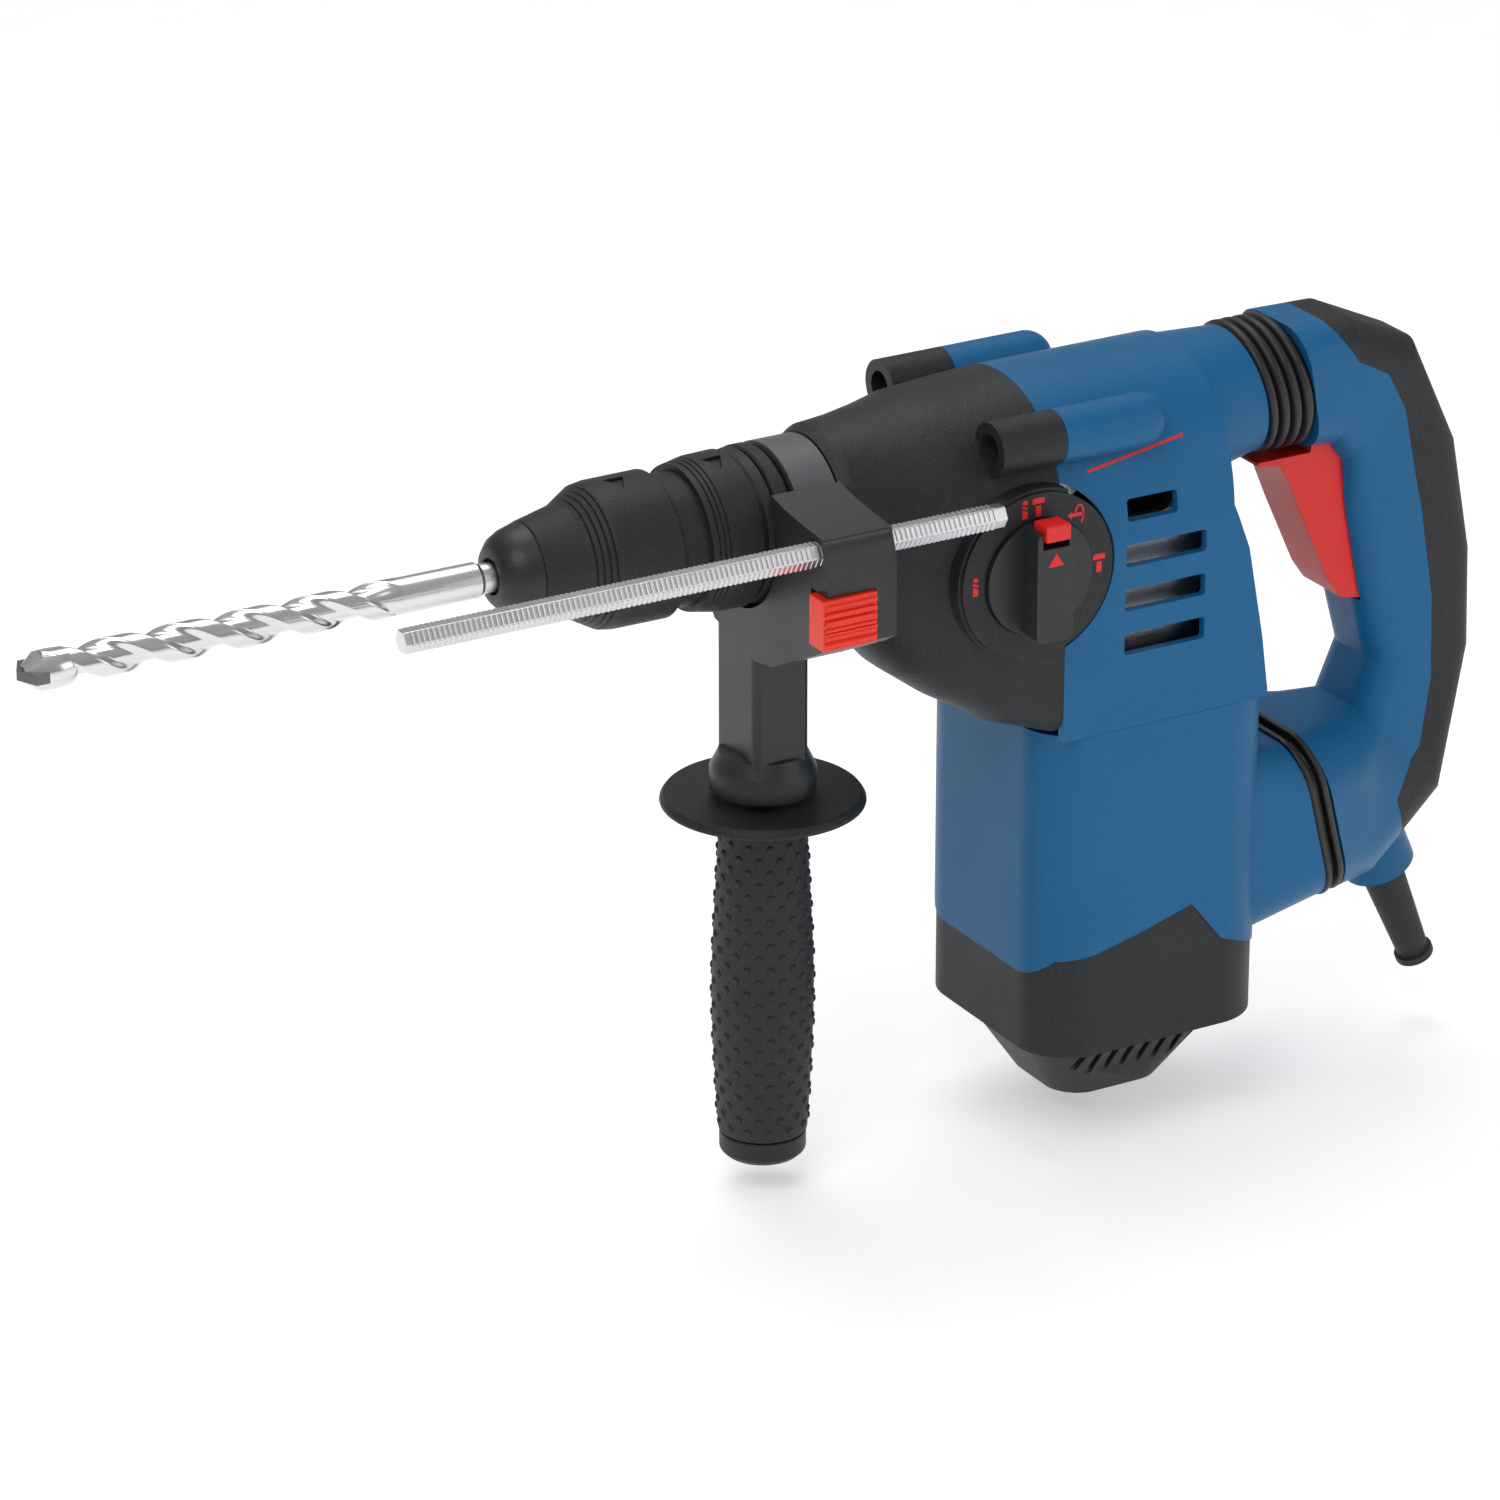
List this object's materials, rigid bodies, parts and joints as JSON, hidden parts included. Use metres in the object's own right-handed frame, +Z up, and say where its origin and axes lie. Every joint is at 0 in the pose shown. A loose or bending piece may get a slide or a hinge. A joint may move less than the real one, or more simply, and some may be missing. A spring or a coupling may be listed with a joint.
{
  "type": "rotary hammer",
  "caption": "Corded rotary hammer with a sliding-sleeve chuck and masonry drill, clamp-on side handle with depth rod, rotary mode selector and a sprung D-shaped rear handle.",
  "frame": {"origin": "centre of the chuck's mouth, on the spindle's axis", "axes": "+X runs back along the spindle from the chuck to the rear handle, +Z is up and away from the motor, and -Y is the side with the mode selector"},
  "size_m": [0.532, 0.1037, 0.261],
  "materials": {
    "arm_aluminium": "machined",
    "ball_steel": "machined",
    "band_steel": "machined",
    "bearing_steel": "machined",
    "bearing_steel_motor": "machined",
    "bearing_steel_shafts": "machined",
    "bellows_rubber_low": "matt, fine grain",
    "bellows_rubber_top": "matt, fine grain",
    "black_plastic_cap": "moulded, fine grain",
    "black_plastic_case": "moulded, fine grain",
    "black_plastic_chuck": "moulded, fine grain",
    "black_plastic_clamp": "moulded, fine grain",
    "black_plastic_dial": "moulded, fine grain",
    "black_plastic_grip": "moulded, fine grain",
    "black_plastic_knob": "moulded, fine grain",
    "black_plastic_ring": "moulded, fine grain",
    "black_plastic_sleeve": "moulded, fine grain",
    "black_rubber_grip": "matt, fine grain",
    "black_rubber_handle": "matt, fine grain",
    "blue_plastic_body": "moulded, fine satin grain",
    "blue_plastic_left": "moulded, fine satin grain",
    "blue_plastic_motor": "moulded, fine satin grain",
    "blue_plastic_right": "moulded, fine satin grain",
    "bolt_steel": "machined",
    "bolt_steel_clamp": "machined",
    "bright_steel": "bright, ground",
    "carbide": "machined",
    "carbon": "pressed carbon",
    "cast_frame": "die cast",
    "copper_bars": "turned",
    "core_steel": "machined",
    "crank_steel": "machined",
    "fan_plastic": "moulded, fine grain",
    "gear_steel_bevel": "machined",
    "gear_steel_crank": "machined",
    "gear_steel_middle": "machined",
    "gear_steel_ring": "machined",
    "holder_steel": "machined",
    "nose_rubber": "matt, fine grain",
    "oring_rubber": "matt, fine grain",
    "pin_steel_handle": "machined",
    "pin_steel_wrist": "machined",
    "piston_aluminium": "machined",
    "red_button": "smooth",
    "red_carrier": "smooth",
    "red_lock": "smooth",
    "red_trigger": "smooth",
    "ring_steel": "machined",
    "rod_aluminium": "machined",
    "rod_steel": "bright, cold drawn",
    "screw_steel": "machined",
    "seal_rubber": "matt, fine grain",
    "shaft_steel": "machined",
    "sleeve_rubber": "matt, fine grain",
    "spring_steel_damper": "machined",
    "spring_steel_sleeve": "machined",
    "stator_steel": "machined",
    "striker_steel": "machined",
    "switch_plastic": "moulded, fine grain",
    "tube_steel": "machined"
  },
  "bodies": {
    "housing": {"gear_case": "black_plastic_case", "upper_housing": "blue_plastic_body", "motor_housing": "blue_plastic_motor", "motor_cap": "black_plastic_cap", "inner_frame": "cast_frame", "spindle_bearings": "bearing_steel", "spindle_seal": "seal_rubber", "shaft_bearings": "bearing_steel_shafts", "motor_bearings": "bearing_steel_motor", "stator": "stator_steel", "carbon_brushes": "carbon", "brush_carrier": "red_carrier", "housing_screws": "screw_steel", "upper_bellows": "bellows_rubber_top", "lower_bellows": "bellows_rubber_low", "damper_spring": "spring_steel_damper", "dial_plate": "black_plastic_dial"},
    "spindle": {"tool_holder": "holder_steel", "locking_balls": "ball_steel", "hammer_tube": "tube_steel", "chuck_core": "black_plastic_chuck", "nose_cap": "nose_rubber", "sleeve_spring": "spring_steel_sleeve", "bevel_ring": "gear_steel_ring"},
    "bit": {"drill_bit": "bright_steel", "carbide_tip": "carbide"},
    "lock_sleeve": {"lock_sleeve": "black_plastic_sleeve", "lock_ring": "ring_steel"},
    "change_ring": {"change_ring": "black_plastic_ring"},
    "impact_bolt": {"impact_bolt": "bolt_steel"},
    "striker": {"striker": "striker_steel", "striker_oring": "oring_rubber"},
    "piston": {"piston": "piston_aluminium", "wrist_pin": "pin_steel_wrist", "connecting_rod": "rod_aluminium"},
    "crank": {"crank_shaft": "crank_steel", "crank_gear": "gear_steel_crank"},
    "middle_shaft": {"bevel_shaft": "gear_steel_bevel", "middle_gear": "gear_steel_middle"},
    "armature": {"armature_shaft": "shaft_steel", "armature_core": "core_steel", "commutator": "copper_bars", "cooling_fan": "fan_plastic"},
    "rear_handle": {"left_handle_shell": "blue_plastic_left", "right_handle_shell": "blue_plastic_right", "soft_grip": "black_rubber_handle", "handle_pins": "pin_steel_handle", "power_switch": "switch_plastic", "pivot_arm": "arm_aluminium", "cord_sleeve": "sleeve_rubber"},
    "trigger": {"trigger": "red_trigger"},
    "aux_clamp": {"clamp_body": "black_plastic_clamp", "clamp_band": "band_steel", "tension_bolt": "bolt_steel_clamp"},
    "grip": {"grip_core": "black_plastic_grip", "grip_rubber": "black_rubber_grip"},
    "depth_rod": {"depth_rod": "rod_steel"},
    "rod_button": {"rod_button": "red_button"},
    "selector": {"selector_knob": "black_plastic_knob"},
    "selector_lock": {"selector_lock": "red_lock"}
  },
  "joints": [
    {"name": "armature_spin", "type": "hinge", "parent": "housing", "child": "armature", "pos_m": [0.227, 0, -0.12], "axis": [0, 0, 1], "continuous": true},
    {"name": "crank_spin", "type": "hinge", "parent": "housing", "child": "crank", "pos_m": [0.2, 0, -0.04], "axis": [0, 0, 1], "continuous": true},
    {"name": "middle_spin", "type": "hinge", "parent": "housing", "child": "middle_shaft", "pos_m": [0.1625, 0, -0.04], "axis": [0, 0, 1], "continuous": true},
    {"name": "spindle_spin", "type": "hinge", "parent": "housing", "child": "spindle", "pos_m": [0.1, 0, 0], "axis": [1, 0, 0], "continuous": true},
    {"name": "piston_slide", "type": "slide", "parent": "housing", "child": "piston", "axis": [1, 0, 0], "range_m": [0, 0.018]},
    {"name": "striker_slide", "type": "slide", "parent": "spindle", "child": "striker", "axis": [1, 0, 0], "range_m": [0, 0.018]},
    {"name": "impact_bolt_slide", "type": "slide", "parent": "spindle", "child": "impact_bolt", "axis": [1, 0, 0], "range_m": [0, 0.003]},
    {"name": "bit_slide", "type": "slide", "parent": "spindle", "child": "bit", "axis": [-1, 0, 0], "range_m": [0, 0.008]},
    {"name": "lock_sleeve_slide", "type": "slide", "parent": "spindle", "child": "lock_sleeve", "axis": [1, 0, 0], "range_m": [0, 0.006], "stiffness_N_per_m": 1500, "springref_m": -0.004},
    {"name": "change_ring_turn", "type": "hinge", "parent": "spindle", "child": "change_ring", "pos_m": [0.08, 0, 0], "axis": [1, 0, 0], "range_deg": [0, 30]},
    {"name": "rear_handle_damping", "type": "hinge", "parent": "housing", "child": "rear_handle", "pos_m": [0.283, 0, -0.14], "axis": [0, -1, 0], "range_deg": [0, 1.2], "stiffness_Nm_per_rad": 600, "springref_deg": -0.17},
    {"name": "trigger_press", "type": "hinge", "parent": "rear_handle", "child": "trigger", "pos_m": [0.3095, 0, -0.0075], "axis": [0, -1, 0], "range_deg": [0, 3], "stiffness_Nm_per_rad": 3, "springref_deg": -2.86},
    {"name": "aux_handle_turn", "type": "hinge", "parent": "housing", "child": "aux_clamp", "pos_m": [0.1, 0, 0], "axis": [1, 0, 0], "range_deg": [-120, 0]},
    {"name": "grip_turn", "type": "hinge", "parent": "aux_clamp", "child": "grip", "pos_m": [0.0985, 0, -0.15], "axis": [0, 0, 1], "range_deg": [-180, 180]},
    {"name": "depth_rod_slide", "type": "slide", "parent": "aux_clamp", "child": "depth_rod", "axis": [-1, 0, 0], "range_m": [0, 0.06]},
    {"name": "rod_button_press", "type": "slide", "parent": "aux_clamp", "child": "rod_button", "axis": [0, 1, 0], "range_m": [0, 0.0025], "stiffness_N_per_m": 1500, "springref_m": -0.001},
    {"name": "selector_turn", "type": "hinge", "parent": "housing", "child": "selector", "pos_m": [0.1745, -0.05, -0.019], "axis": [0, -1, 0], "range_deg": [-80, 60]},
    {"name": "selector_lock_press", "type": "slide", "parent": "selector", "child": "selector_lock", "axis": [0, 0, -1], "range_m": [0, 0.002], "stiffness_N_per_m": 800, "springref_m": -0.001}
  ],
  "couplings": [
    {"joint": "crank_spin", "follows": "armature_spin", "ratio": -0.2},
    {"joint": "middle_spin", "follows": "armature_spin", "ratio": 0.3},
    {"joint": "spindle_spin", "follows": "armature_spin", "ratio": -0.092308},
    {"joint": "striker_slide", "follows": "piston_slide", "ratio": 1}
  ]
}
